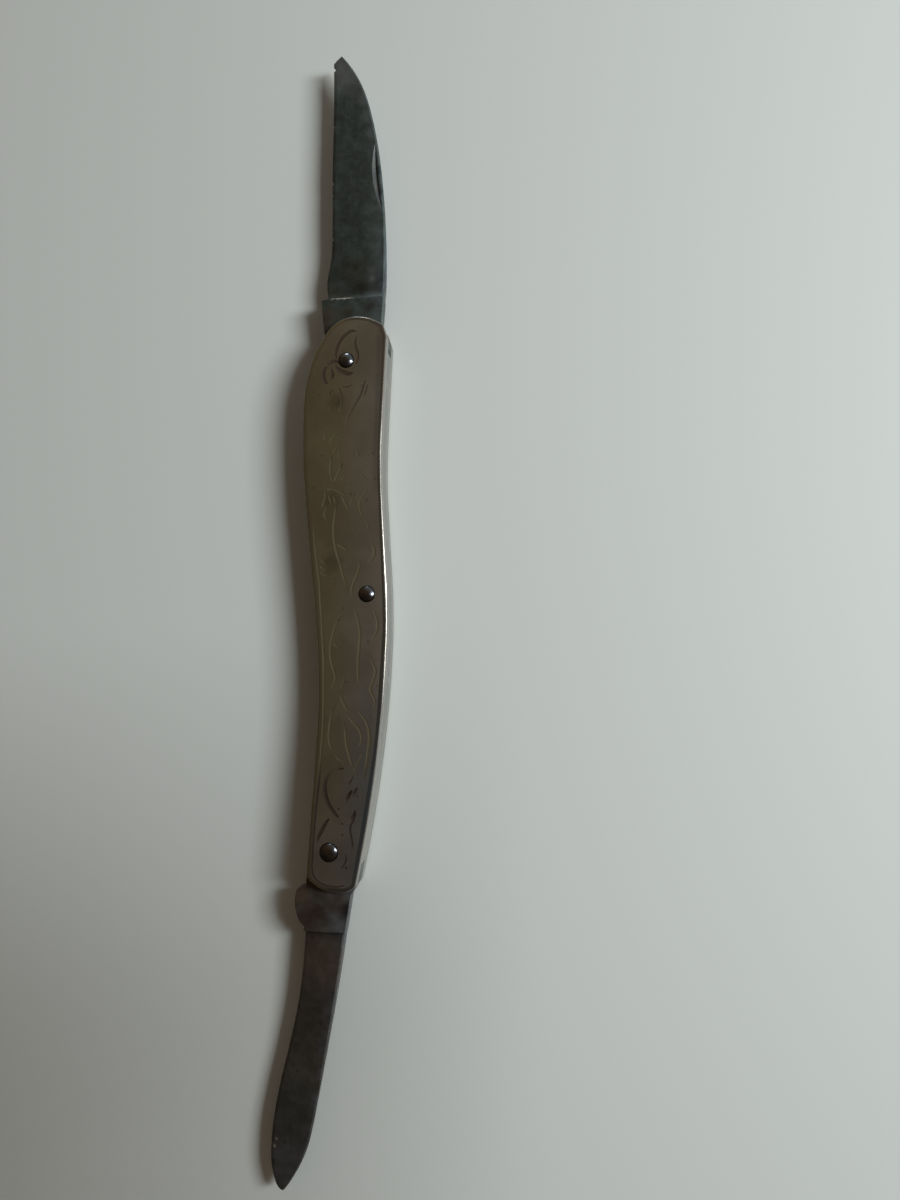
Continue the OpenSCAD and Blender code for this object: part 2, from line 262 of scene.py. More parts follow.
# %% [markdown]
# ## How the finishes are built
# A finish could be painted in an image, but then a scratch's size would depend on how the
# image is wrapped. Every finish here reads the piece's own Object coordinates, in metres,
# so each pattern's scale comes from a size in millimetres. A finish starts from one
# colour. Each step then lays a tone over it, where a share from 0 to 1 says how much: a
# span along one axis, the place where two spans meet, or a pattern.

# %% Helpers that start a finish and lay its tones
def start_finish(name):
    """A new material: its tree, its shader and its Object coordinates."""
    material = bpy.data.materials.new(name)
    material.use_nodes = True
    tree = material.node_tree
    spot = add(tree, "ShaderNodeTexCoord").outputs["Object"]
    return material, tree, tree.nodes["Principled BSDF"], spot


def along(tree, where, axis, start, end, ramp="SMOOTHSTEP"):
    """A share from 0 to 1 between two places in mm on one axis."""
    axes = add(tree, "ShaderNodeSeparateXYZ", {0: where}).outputs
    return add(tree, "ShaderNodeMapRange", {
        0: axes[axis], 1: start * mm, 2: end * mm}, interpolation_type=ramp).outputs[0]


def past_both(tree, where, x_span, y_span):
    """A share that is 1 past both spans, one on X and one on Y, in mm."""
    return add(tree, "ShaderNodeMath", {
        0: along(tree, where, "X", *x_span), 1: along(tree, where, "Y", *y_span)},
        operation="MULTIPLY").outputs[0]


def lay(tree, colour, tone, share, strength=1.0):
    """Lays a tone over a colour, each a hex value or an output, by a share."""
    colour, tone = (linear(c) if isinstance(c, str) else c for c in (colour, tone))
    cover = add(tree, "ShaderNodeMath", {0: share, 1: strength}, operation="MULTIPLY")
    return add(tree, "ShaderNodeMix", {
        0: cover.outputs[0], 6: colour, 7: tone}, data_type="RGBA").outputs[2]


print("one millimetre in Object coordinates:", mm)

# %% [markdown]
# ## Patterns of worn metal
# Three patterns return again and again on old metal: clouds of tarnish, long fine
# scratches, and small round spots. A fourth is one ragged patch at a chosen place. On
# the knife one pixel is about 0.13 mm, so scratches that are really 0.02 mm wide are
# drawn near 0.1 mm to show at all.

# %% Helpers for the patterns
def clouds(tree, where, size, low=0.35, high=0.65, offset=0.0):
    """Soft patches of about that size in mm, from 0 to 1."""
    moved = add(tree, "ShaderNodeMapping", {"Vector": where, "Location": (offset,) * 3})
    noise = add(tree, "ShaderNodeTexNoise", {
        "Vector": moved.outputs[0], "Scale": 1 / (size * mm), "Detail": 5, "Roughness": 0.6})
    return add(tree, "ShaderNodeMapRange", {
        0: noise.outputs[0], 1: low, 2: high}, interpolation_type="SMOOTHSTEP").outputs[0]


def scratches(tree, where, width, length, angle, share, offset=0.0):
    """Thin straight marks at an angle to +Y in degrees; share is how much they cover."""
    through = 4
    turned = add(tree, "ShaderNodeMapping", {
        "Vector": where, "Rotation": (0, 0, math.radians(-angle)),
        "Scale": (1 / (width * mm), 1 / (length * mm), 1 / (through * mm)),
        "Location": (offset, offset, 0)})
    noise = add(tree, "ShaderNodeTexNoise", {
        "Vector": turned.outputs[0], "Scale": 1, "Detail": 1.5, "Roughness": 0.5})
    # Noise keeps near 0.5, so a share of 1 starts there and a share of 0 at 0.75
    level = 0.5 + 0.25 * (1 - share)
    return add(tree, "ShaderNodeMapRange", {
        0: noise.outputs[0], 1: level, 2: level + 0.1}).outputs[0]


def pits(tree, where, spacing, reach):
    """Small round spots about spacing mm apart; reach is their radius as a share of it."""
    core = 0.3
    cells = add(tree, "ShaderNodeTexVoronoi", {"Vector": where, "Scale": 1 / (spacing * mm)})
    return add(tree, "ShaderNodeMapRange", {
        0: cells.outputs["Distance"], 1: reach, 2: core * reach}).outputs[0]


def near(tree, where, centre, radius):
    """1 at a place given in mm, falling to 0 at the radius, with a ragged border."""
    blur = 0.6
    core = 0.35
    ragged = add(tree, "ShaderNodeTexNoise", {"Vector": where, "Scale": 2 / (radius * mm)})
    gap = add(tree, "ShaderNodeVectorMath", {
        0: where, 1: Vector(centre) * mm}, operation="DISTANCE").outputs["Value"]
    frayed = add(tree, "ShaderNodeMath", {
        0: ragged.outputs[0], 1: radius * blur * mm, 2: gap}, operation="MULTIPLY_ADD")
    far = radius * (1 + blur / 2) * mm
    return add(tree, "ShaderNodeMapRange", {
        0: frayed.outputs[0], 1: far, 2: far * core}, interpolation_type="SMOOTHSTEP").outputs[0]


picture_height_px = 1200
table_pixel = camera_place.z * camera.data.sensor_width / camera.data.lens / picture_height_px
print("one pixel on the table:", round(table_pixel / mm, 3), "mm")

# %% [markdown]
# ## Nickel silver that has lain in a drawer
# The covers are rolled nickel silver, a copper alloy that is as white as silver when it
# is polished. Years of handling turned the flat faces a dull olive brown. Toward the
# backspring they are painted greyer, a painted reflection of the room. Faint satin
# scratches run every way, and small dark specks sit in the tarnish. Noise alone would
# put the wear anywhere, so the first layers are broad, and each names a stretch of the
# handle. The finer ones follow, down to the specks.

# %% Broad and fine tones of the covers' flat faces
cover_top = max(corner.co.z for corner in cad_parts["front_cover"].data.vertices) / mm
olive_patches = [((-1.0, 27.0), 1.6), ((-1.2, 13.6), 1.7), ((-0.9, 5.0), 1.9)]
satin_lines = [(18, 0.2), (-40, 0.12), (75, 0.1), (4, 0.2)]


def dulled_face(tree, spot, pen_side):
    """The colour of the flat faces, with their patches, scratches and specks."""
    # Greyer toward the backspring: a painted reflection of the room.
    colour = lay(tree, "#746e56", "#7d796f", along(tree, spot, "X", -2, 5))
    for tone, share, strength in (
            ("#75706a", along(tree, spot, "Y", -20, -36), 1.0),
            ("#7d796d", along(tree, spot, "Y", 29, 36), 0.5),
            ("#67675f", past_both(tree, spot, (3.8, 4.5), (13, 19)), 0.8),
            ("#918d83", past_both(tree, spot, (4.6, 5.7), (2, -3)), 0.7),
            ("#6f7579", pen_side, 0.9),
            ("#4e4736", clouds(tree, spot, 7), 0.35),
            ("#756d58", clouds(tree, spot, 1.6, offset=3), 0.25)):
        colour = lay(tree, colour, tone, share, strength)
    for centre, radius in olive_patches:
        patch = near(tree, spot, (*centre, cover_top), radius)
        colour = lay(tree, colour, "#4f4835", patch, 0.5)
    for angle, share in satin_lines:
        marks = scratches(tree, spot, 0.09, 4, angle, share, offset=angle)
        colour = lay(tree, colour, "#8d8672", marks, 0.3)
    return lay(tree, colour, "#2c2820", pits(tree, spot, 2.4, 0.12), 0.4)


print("covers' flat faces at", round(cover_top, 3), "mm, olive patches:", len(olive_patches))

# %% [markdown]
# ## Rims, sides and grooves
# The sides of the covers stayed bright up to their rim. The shoulder between the rim and
# the flat face is painted darker toward the backspring, a painted dark reflection, and
# the rim is painted lighter there, a painted light. Their faces could carry materials of
# their own, but the borders would be hard lines. So one finish tells them apart by how
# deep a point lies under the flat face, measured from the knife's middle plane, and it
# serves both covers.
# A burin's groove is painted darker near both ends of the handle than in its middle, a
# painted shade for the strokes that turn from the side light there. It is a face with a
# hard border, so it has a plain finish of its own.

# %% The cover metal and its grooves
half_thick = cover_top / 2
polish_depths = (0.2, 0.1)
rim_depths = (0.14, 0.07)
face_depths = (0.012, 0.0001)


def dulled_nickel_silver():
    """Rolled nickel silver: dull satin faces, and rims and sides that gleam a little."""
    material, tree, shader, spot = start_finish("dulled_rolled_nickel_silver")
    height = add(tree, "ShaderNodeSeparateXYZ", {0: spot}).outputs["Z"]
    from_middle = add(tree, "ShaderNodeMath", {
        0: height, 1: half_thick * mm}, operation="SUBTRACT").outputs[0]
    off = add(tree, "ShaderNodeMath", {0: from_middle}, operation="ABSOLUTE").outputs[0]
    above_rim, on_face = (add(tree, "ShaderNodeMapRange", {
        0: off, 1: (half_thick - start) * mm, 2: (half_thick - end) * mm},
        interpolation_type="SMOOTHSTEP").outputs[0] for start, end in (rim_depths, face_depths))
    pen_side = past_both(tree, spot, (0.5, 5), (-6, -26))
    painted_light_and_shade_side = along(tree, spot, "X", -1.5, 1)
    # Painted dark reflection: the shoulder darkens toward the backspring.
    shoulder_painted_reflection = lay(tree, "#7b7760", "#5c5951", painted_light_and_shade_side)
    shoulder_painted_reflection = lay(tree, shoulder_painted_reflection, "#555b5f", pen_side)
    # Painted light: the rim lightens toward the backspring, on the window's side.
    rim_with_painted_light = lay(tree, "#82806a", "#94918a", painted_light_and_shade_side)
    top = lay(tree, shoulder_painted_reflection, dulled_face(tree, spot, pen_side), on_face)
    side_rough = add(tree, "ShaderNodeMapRange", {
        0: off, 1: (half_thick - polish_depths[0]) * mm,
        2: (half_thick - polish_depths[1]) * mm, 3: 0.3, 4: 0.22})
    rough = add(tree, "ShaderNodeMath", {
        0: on_face, 1: 0.18, 2: side_rough.outputs[0]}, operation="MULTIPLY_ADD")
    fill(tree, shader, {
        "Base Color": lay(tree, rim_with_painted_light, top, above_rim), "Metallic": 0.8,
        "Roughness": rough.outputs[0]})
    return material


def burin_cut_nickel_silver():
    """The inside of a groove: matt, with painted shade toward both ends of the handle."""
    material, tree, shader, spot = start_finish("burin_cut_nickel_silver")
    # Painted shade: darker toward both ends of the handle.
    colour = lay(tree, "#57513c", "#43382c", along(tree, spot, "Y", 22, 30))
    colour = lay(tree, colour, "#382f27", along(tree, spot, "Y", -20, -25))
    fill(tree, shader, {"Base Color": colour, "Metallic": 0.6, "Roughness": 0.6})
    return material


cover_metal = dulled_nickel_silver()
groove_metal = burin_cut_nickel_silver()
print("cover finishes:", cover_metal.name, groove_metal.name)

# %% [markdown]
# ## The engraving
# The ornament is a traditional scroll of stems, leaves and a palmette, cut freehand with
# a burin, which leaves a V groove that starts fine, swells and ends fine. A bump in the
# finish would only shade it, so the strokes are curves that will cut real grooves. Each
# stroke here is its width and then its points in millimetres, chosen along the groove.
# The curve passes through the points, and its radius carries the swell. Wear spread
# every groove, so one factor widens them all.

# %% Strokes of the ornament: width, then points, in mm
strokes = {
    "main end": [
        (0.46, (1.2, 36.75), (0.6, 36.8), (0.0, 36.45), (-0.6, 35.9), (-1.05, 35.2), (-1.35, 34.4),
         (-1.5, 33.5), (-1.3, 32.9)),
        (0.34, (1.3, 36.0), (1.15, 35.2), (1.25, 34.5), (1.55, 33.7), (1.6, 32.9), (1.3, 32.1)),
        (0.42, (-2.6, 32.0), (-2.1, 32.4), (-1.5, 32.6), (-1.0, 32.3)),
        (0.56, (-1.6, 32.1), (-0.95, 31.35), (-0.2, 31.0), (0.5, 30.85), (1.0, 31.0)),
        (0.5, (-2.7, 31.8), (-3.05, 31.2), (-3.05, 30.4), (-2.8, 29.8), (-2.45, 29.4)),
        (0.6, (-2.0, 31.5), (-1.85, 30.6), (-1.95, 30.0)),
        (0.3, (2.75, 29.9), (2.45, 28.9), (2.1, 27.8), (1.6, 26.9), (1.1, 26.1), (0.7, 25.2),
         (0.35, 24.3), (0.25, 23.6)),
        (0.2, (3.1, 29.3), (2.8, 28.2), (2.5, 27.4)),
        (0.26, (-0.85, 29.0), (-0.6, 28.1), (-0.35, 27.3), (-0.5, 26.4), (-0.75, 25.6)),
        (0.22, (-1.8, 28.7), (-2.05, 28.1), (-2.4, 27.5)),
        (0.24, (-2.6, 26.9), (-2.1, 26.4), (-1.9, 25.8), (-1.4, 25.2)),
        (0.2, (1.0, 29.4), (0.3, 29.0), (-0.6, 29.1)),
    ],
    "upper leaf": [
        (0.26, (-2.45, 22.9), (-2.55, 22.3), (-2.6, 21.7)),
        (0.26, (-0.1, 22.7), (-0.5, 22.2), (-1.1, 22.4), (-1.5, 21.9), (-1.8, 21.2)),
        (0.24, (-0.5, 20.9), (-1.0, 20.4), (-1.35, 19.8)),
        (0.32, (-1.5, 19.6), (-1.55, 18.8), (-1.6, 17.8), (-1.55, 16.9), (-1.35, 16.0)),
        (0.22, (-0.45, 20.2), (-0.55, 19.5), (-0.25, 18.9)),
        (0.3, (0.05, 18.5), (-0.25, 17.7), (-0.6, 16.9), (-1.1, 16.1)),
        (0.2, (-0.2, 16.2), (0.3, 16.6), (0.8, 16.8)),
        (0.26, (2.0, 20.4), (2.0, 19.8), (2.4, 19.3)),
        (0.22, (3.5, 19.8), (3.35, 19.0)),
        (0.22, (2.4, 17.0), (3.0, 16.7), (3.5, 16.1)),
    ],
    "palmette": [
        (0.3, (-1.9, 14.9), (-1.2, 15.0), (-0.5, 14.75), (0.1, 14.5), (0.5, 14.1)),
        (0.28, (-1.8, 14.2), (-1.5, 13.5), (-1.3, 12.8)),
        (0.28, (-1.1, 14.1), (-0.9, 13.5), (-0.8, 12.9)),
        (0.26, (0.0, 14.1), (0.4, 13.4), (0.75, 12.7), (1.0, 12.0)),
        (0.26, (-2.2, 14.8), (-2.2, 14.0), (-2.35, 13.2), (-2.6, 12.5)),
        (0.26, (-1.9, 12.6), (-2.15, 11.9), (-2.1, 11.1), (-1.7, 10.9)),
        (0.24, (3.5, 15.2), (3.3, 14.5), (2.8, 13.8), (2.5, 13.1), (2.55, 12.4), (2.8, 11.7),
         (3.1, 11.1)),
        (0.22, (1.9, 14.4), (1.5, 13.7), (1.2, 13.0)),
        (0.22, (3.4, 10.8), (3.7, 10.1), (3.85, 9.3)),
        (0.2, (1.7, 10.1), (1.75, 9.4)),
        (0.2, (2.1, 9.6), (2.0, 9.0)),
    ],
    "waist": [
        (0.36, (-0.65, 12.6), (-0.75, 11.6), (-0.85, 10.4), (-0.85, 9.2), (-0.75, 8.2), (-0.5, 7.0),
         (-0.2, 6.0), (0.2, 4.9), (0.5, 3.8), (0.8, 2.9), (1.15, 2.0)),
        (0.34, (2.8, 5.3), (2.75, 4.3), (2.45, 3.3), (2.1, 2.4), (1.85, 1.5), (1.75, 0.7)),
        (0.4, (-0.6, 7.5), (0.1, 7.35), (0.7, 7.0), (1.2, 6.6)),
        (0.3, (4.2, 8.0), (4.6, 7.2), (4.75, 6.4), (4.5, 5.6), (3.9, 5.2)),
        (0.2, (-2.6, 4.6), (-2.0, 4.1), (-1.4, 3.8)),
        (0.2, (-2.4, 3.8), (-1.9, 3.4), (-1.3, 3.3)),
        (0.22, (-2.6, 5.6), (-2.2, 5.1), (-1.8, 5.0)),
        (0.3, (-0.75, 3.3), (-0.55, 3.0)),
        (0.34, (2.3, -0.9), (2.6, -1.8), (2.85, -2.7), (3.1, -3.6), (3.2, -4.8), (3.15, -6.2),
         (3.05, -7.6), (3.05, -9), (3.1, -10.1), (3.35, -11)),
        (0.34, (0.4, -2.4), (0.0, -3.0), (-0.3, -3.8), (-0.5, -4.8), (-0.7, -5.9), (-0.7, -7.1),
         (-0.5, -8.2), (-0.2, -9.2), (0.05, -10), (-0.05, -10.8), (-0.4, -11.5)),
        (0.3, (-0.4, -5.2), (0.0, -6.0), (0.6, -6.3)),
        (0.32, (4.8, -1.2), (5.25, -2.1), (5.5, -3.2), (5.3, -4.2), (4.7, -5.0)),
        (0.32, (4.6, -7.3), (5.0, -8.2), (5.4, -9.1), (5.25, -10.0), (5.0, -10.9), (4.75, -11.6),
         (5.1, -12.3), (5.45, -13.1), (5.3, -14)),
        (0.22, (1.15, -10.0), (1.15, -10.7), (0.8, -11.4)),
    ],
    "border": [
        (0.3, (-3.55, 9.9), (-3.5, 8.6), (-3.3, 7.0), (-3.1, 5.8), (-2.9, 4.6), (-2.7, 3.4),
         (-2.5, 2.2), (-2.4, 0.8), (-2.25, -0.8), (-2.05, -2.4), (-1.9, -4), (-1.75, -5.6),
         (-1.6, -7.4), (-1.5, -9.5), (-1.4, -12), (-1.35, -14.5), (-1.35, -17), (-1.4, -19),
         (-1.5, -21), (-1.6, -23), (-1.85, -26), (-2.05, -29.5), (-2.15, -33.5), (-2.1, -35.2),
         (-1.55, -36.2), (-0.5, -36.8), (1.0, -37.0), (2.2, -36.8)),
    ],
    "lower scroll": [
        (0.3, (0.6, -12.0), (0.95, -12.8), (1.3, -13.5), (1.8, -14.2), (2.1, -14.4)),
        (0.34, (0.0, -14.1), (-0.3, -15.1), (-0.45, -16.5), (-0.5, -17.9), (-0.3, -19),
         (0.05, -19.8)),
        (0.34, (1.45, -16.0), (1.65, -17.3), (1.85, -18.8), (2.2, -20.0), (2.55, -21.1),
         (3.0, -21.9)),
        (0.34, (3.3, -14.6), (4.0, -15.3), (4.5, -16.1), (4.8, -17.2), (4.85, -18.5), (4.7, -19.8),
         (4.6, -21.2), (4.4, -22.4), (4.1, -23.4)),
        (0.3, (1.9, -15.2), (2.6, -15.9), (3.3, -16.6), (3.7, -17.4), (3.8, -18.2), (3.5, -19.0)),
        (0.28, (4.0, -19.8), (3.75, -20.6), (3.3, -21.3), (2.9, -22.2)),
        (0.32, (3.3, -22.1), (3.45, -22.8)),
        (0.26, (0.4, -20.3), (0.9, -20.7), (1.6, -20.9)),
        (0.3, (2.9, -22.9), (2.5, -23.6), (2.1, -24.2)),
    ],
    "pen end": [
        (0.55, (1.6, -21.9), (0.7, -22.05), (0.0, -22.25), (-0.55, -22.8), (-0.85, -23.7),
         (-0.85, -24.8), (-0.6, -25.8), (-0.1, -26.8), (0.5, -27.6), (1.1, -28.2)),
        (0.5, (3.3, -27.3), (2.95, -28.2), (2.55, -29.1)),
        (0.26, (3.45, -27.6), (3.1, -28.5), (2.7, -29.5), (2.85, -30.5), (3.05, -31.5),
         (3.0, -32.4)),
        (0.45, (-0.1, -28.4), (-0.6, -29.1), (-1.05, -30.0), (-1.4, -30.7), (-1.65, -31.5)),
        (0.5, (2.75, -24.7), (2.3, -25.5), (1.9, -26.2)),
        (0.4, (3.5, -24.3), (3.1, -24.9), (2.8, -25.6)),
        (0.26, (1.6, -34.9), (2.3, -33.5), (2.2, -32.9)),
        (0.75, (1.05, -27.0), (1.1, -27.2)),
        (0.75, (1.6, -28.9), (1.55, -29.1)),
        (0.75, (1.65, -30.3), (1.7, -30.5)),
        (0.75, (2.25, -34.4), (2.35, -34.7)),
        (0.75, (-2.3, -26.9), (-2.1, -27.1)),
        (0.6, (3.45, -25.3), (3.5, -25.5)),
    ],
}
fine_end = 0.35
worn_wider = 1.7


def stroke_curve(name):
    """One curve object with a spline for each stroke, lying on the cover's top."""
    curve = bpy.data.curves.new(name, "CURVE")
    curve.dimensions = "3D"
    curve.resolution_u = 4
    for width, *points in (s for group in strokes.values() for s in group):
        spline = curve.splines.new("BEZIER")
        spline.bezier_points.add(len(points) - 1)
        for number, (x, y) in enumerate(points):
            bead = spline.bezier_points[number]
            bead.co = Vector((x, y, cover_top)) * mm
            bead.handle_left_type = bead.handle_right_type = "AUTO"
            swell = math.sin(math.pi * number / (len(points) - 1)) ** 0.5
            bead.radius = width * worn_wider * mm * (fine_end + (1 - fine_end) * swell)
    holder = bpy.data.objects.new(name, curve)
    scene.collection.objects.link(holder)
    return holder


print("strokes:", sum(len(group) for group in strokes.values()))

# %% [markdown]
# ## One tree sweeps the burin
# Along each stroke the tree sweeps the cross-section of a burin: a V below the surface,
# closed above it by a ridge, so that the sweep is a solid. The profile's points are shares
# of the curve's radius, with +Y into the metal. At the surface the V is 0.69 of the radius
# wide, and it is 0.08 of it deep, for these cuts were rubbed down until they are wide and
# shallow. A curve's own bevel could sweep it too, but the tree keeps the depth as one
# named input and gives the cutter its finish.

# %% Geometry Nodes: a V-shaped cutter along every stroke
def new_tree(name, sizes):
    """An empty geometry tree with one mesh or curve in, one out, and named inputs."""
    tree = bpy.data.node_groups.new(name, "GeometryNodeTree")
    tree.interface.new_socket("Geometry", in_out="INPUT", socket_type="NodeSocketGeometry")
    for label, kind in sizes.items():
        tree.interface.new_socket(label, in_out="INPUT", socket_type="NodeSocket" + kind)
    tree.interface.new_socket("Geometry", in_out="OUTPUT", socket_type="NodeSocketGeometry")
    return tree, add(tree, "NodeGroupInput").outputs


def end_tree(tree, geometry, material):
    """Every tree ends with real geometry that carries its finish."""
    real = add(tree, "GeometryNodeRealizeInstances", {0: geometry})
    dressed = add(tree, "GeometryNodeSetMaterial", {
        "Geometry": real.outputs[0], "Material": material})
    add(tree, "NodeGroupOutput", {0: dressed.outputs[0]})


def run_tree(tree, holder, values, name):
    """Evaluates a tree on an object and returns the result as an object with a plain mesh."""
    modifier = holder.modifiers.new(tree.name, "NODES")
    modifier.node_group = tree
    sockets = {s.name: s.identifier for s in tree.interface.items_tree if s.in_out == "INPUT"}
    for label, value in values.items():
        modifier[sockets[label]] = value
    evaluated = holder.evaluated_get(bpy.context.evaluated_depsgraph_get())
    result = bpy.data.objects.new(name, bpy.data.meshes.new_from_object(evaluated))
    scene.collection.objects.link(result)
    bpy.data.objects.remove(holder)
    return result


burin, given = new_tree("burin_cuts", {"Depth share": "Float", "Material": "Material"})
depth_point = add(burin, "ShaderNodeCombineXYZ", {"Y": given["Depth share"]}).outputs[0]
section = add(burin, "GeometryNodeCurvePrimitiveQuadrilateral", {
    "Point 1": (-0.6, -0.06, 0), "Point 2": (0, -0.5, 0), "Point 3": (0.6, -0.06, 0),
    "Point 4": depth_point}, mode="POINTS")
level = add(burin, "GeometryNodeSetCurveNormal", {"Curve": given["Geometry"]}, mode="Z_UP")
swept = add(burin, "GeometryNodeCurveToMesh", {
    "Curve": level.outputs[0], "Profile Curve": section.outputs[0],
    "Scale": add(burin, "GeometryNodeInputRadius").outputs[0], "Fill Caps": True})
end_tree(burin, swept.outputs[0], given["Material"])

front_cuts = run_tree(burin, stroke_curve("engraving"), {
    "Depth share": 0.08, "Material": groove_metal}, "front_cuts")
print("cutter faces:", len(front_cuts.data.polygons))

# %% [markdown]
# ## Cutting the ornament
# The cutters are taken out of a copy of each cover, and the cut faces keep the groove's
# finish. The back cover gets the same ornament mirrored through the handle's middle
# plane, as if one pattern was laid on both sides. That side isn't seen, so it is a guess.

# %% Engraved covers
def bake(piece):
    """Turns a piece and its modifiers into one plain mesh."""
    evaluated = piece.evaluated_get(bpy.context.evaluated_depsgraph_get())
    mesh = bpy.data.meshes.new_from_object(evaluated)
    piece.modifiers.clear()
    piece.data = mesh


def cut(piece, cutter):
    """Takes the cutter out of the piece and removes it. Its faces keep their finish."""
    saw = piece.modifiers.new("cut", "BOOLEAN")
    saw.object = cutter
    saw.solver = "EXACT"
    saw.use_self = True
    saw.material_mode = "TRANSFER"
    bake(piece)
    bpy.data.objects.remove(cutter)


def join_flats(piece, limit=0.5):
    """Joins neighbouring faces that lie in one plane, within a limit in degrees."""
    body = bmesh.new()
    body.from_mesh(piece.data)
    bmesh.ops.dissolve_limit(
        body, angle_limit=math.radians(limit), verts=body.verts, edges=body.edges,
        delimit={"MATERIAL"})
    body.to_mesh(piece.data)
    body.free()


back_cuts = bpy.data.objects.new("back_cuts", front_cuts.data.copy())
scene.collection.objects.link(back_cuts)
mirror = Matrix.Translation((0, 0, cover_top * mm)) @ Matrix.Scale(-1, 4, (0, 0, 1))
back_cuts.data.transform(mirror)
back_cuts.data.flip_normals()

for node, cuts in (("front_cover", front_cuts), ("back_cover", back_cuts)):
    cover = merged_copy(node, "engraved_" + node)
    cover.data.materials.append(cover_metal)
    cut(cover, cuts)
    join_flats(cover)
    shade(cover)
    place(cover, node, "handle")

# %% [markdown]
# ## Liners and backspring
# Each liner is a thin sheet that shows only as a bright line along the handle's edge.
# The backspring is spring steel, ground flush with the liners after the knife was put
# together, so fine grinding lines run along its edge, and a little rust sits in it. Both
# are painted lighter toward the pen blade, a painted light where the card's shade falls.
# A file broke the sharp edges of all three pieces, by about 0.04 mm.

# %% Sheet, spring and their eased edges
def ease(piece, width, limit=50):
    """Rounds the edges sharper than the limit in degrees; width in mm."""
    rounding = piece.modifiers.new("ease", "BEVEL")
    rounding.width = width * mm
    rounding.segments = 2
    rounding.angle_limit = math.radians(limit)
    bake(piece)


def bare_metal(name, colour, pen_end_painted_light, grain, rough, rust):
    """Bare sheet or ground steel: grinding lines along Y, thin rust, painted light at the pen end.
    """
    material, tree, shader, spot = start_finish(name)
    # Painted light toward the pen end, where the card's shade falls.
    colour = lay(tree, colour, pen_end_painted_light, along(tree, spot, "Y", -12, -32))
    colour = lay(tree, colour, grain, scratches(tree, spot, 0.08, 8, 0, 0.5), 0.4)
    colour = lay(tree, colour, "#4b3526", clouds(tree, spot, 2.5, 0.55, 0.75), rust)
    fill(tree, shader, {"Base Color": colour, "Metallic": 0.9, "Roughness": rough})
    return material


liner_metal = bare_metal(
    "cut_edge_of_nickel_silver_sheet", "#aeaba3", "#c9c6bf", "#c6c4bb", 0.35, 0.15)
spring_metal = bare_metal("ground_spring_steel", "#8f8e8b", "#a9a7a4", "#adadaa", 0.32, 0.25)

for node, metal, slot in (
        ("front_liner", liner_metal, "liner"), ("back_liner", liner_metal, "liner"),
        ("backspring", spring_metal, "spring_steel")):
    strip = merged_copy(node, "eased_" + node)
    strip.data.materials.append(metal)
    join_flats(strip)
    ease(strip, 0.04)
    shade(strip)
    place(strip, node, "handle")

# %% [markdown]
# ## Blades of old carbon steel
# Carbon steel that was never oiled grows a dark skin. On the main blade it is greenish
# black, with long scratches from wiping and whetting, brighter toward the spine and the
# tip. On the pen blade it is browner, with reddish rust on the lump beside the tang.
# One function makes both steels, because their layers are the same and only the tones and
# the marks differ: a slow change across and along the blade first, then clouds, the marks
# that were placed one by one, scratches, and pits last.

# %% Patinated steel for each blade
wiping_lines = [(-3, 0.35), (4, 0.3), (-24, 0.1), (62, 0.06)]


def patinated_steel(name, edge_tone, spine_tone, spine_at, tip_tone, tip_at, scratch_tone, marks):
    """Dark carbon steel whose tone changes from the edge to the spine and to the tip."""
    material, tree, shader, spot = start_finish(name)
    colour = lay(tree, edge_tone, spine_tone, along(tree, spot, "X", *spine_at))
    colour = lay(tree, colour, tip_tone, along(tree, spot, "Y", *tip_at), 0.8)
    colour = lay(tree, colour, "#1f201d", clouds(tree, spot, 4), 0.15)
    colour = lay(tree, colour, scratch_tone, clouds(tree, spot, 0.9, offset=5), 0.1)
    for centre, radius, tone, strength in marks:
        colour = lay(tree, colour, tone, near(tree, spot, centre, radius), strength)
    for angle, share in wiping_lines:
        lines =scratches(tree, spot, 0.09, 6, angle, share, offset=angle)
        colour = lay(tree, colour, scratch_tone, lines, 0.3)
    colour = lay(tree, colour, "#171512", pits(tree, spot, 1.9, 0.14), 0.4)
    rough = add(tree, "ShaderNodeMapRange", {
        0: clouds(tree, spot, 1.5, offset=9), 3: 0.33, 4: 0.53})
    fill(tree, shader, {
        "Base Color": colour, "Metallic": 0.75, "Roughness": rough.outputs[0]})
    return material


print("directions of the scratches on a blade:", len(wiping_lines))

# %% [markdown]
# ## The steel of each blade
# A mark is its centre, its radius, its colour and how strongly it shows. The row of small
# bright marks across the main blade is a painted highlight on the line where its grinding
# stops, and the two small ones near the pen blade's tip are bare metal. Marks along a
# spine lighten or darken it.

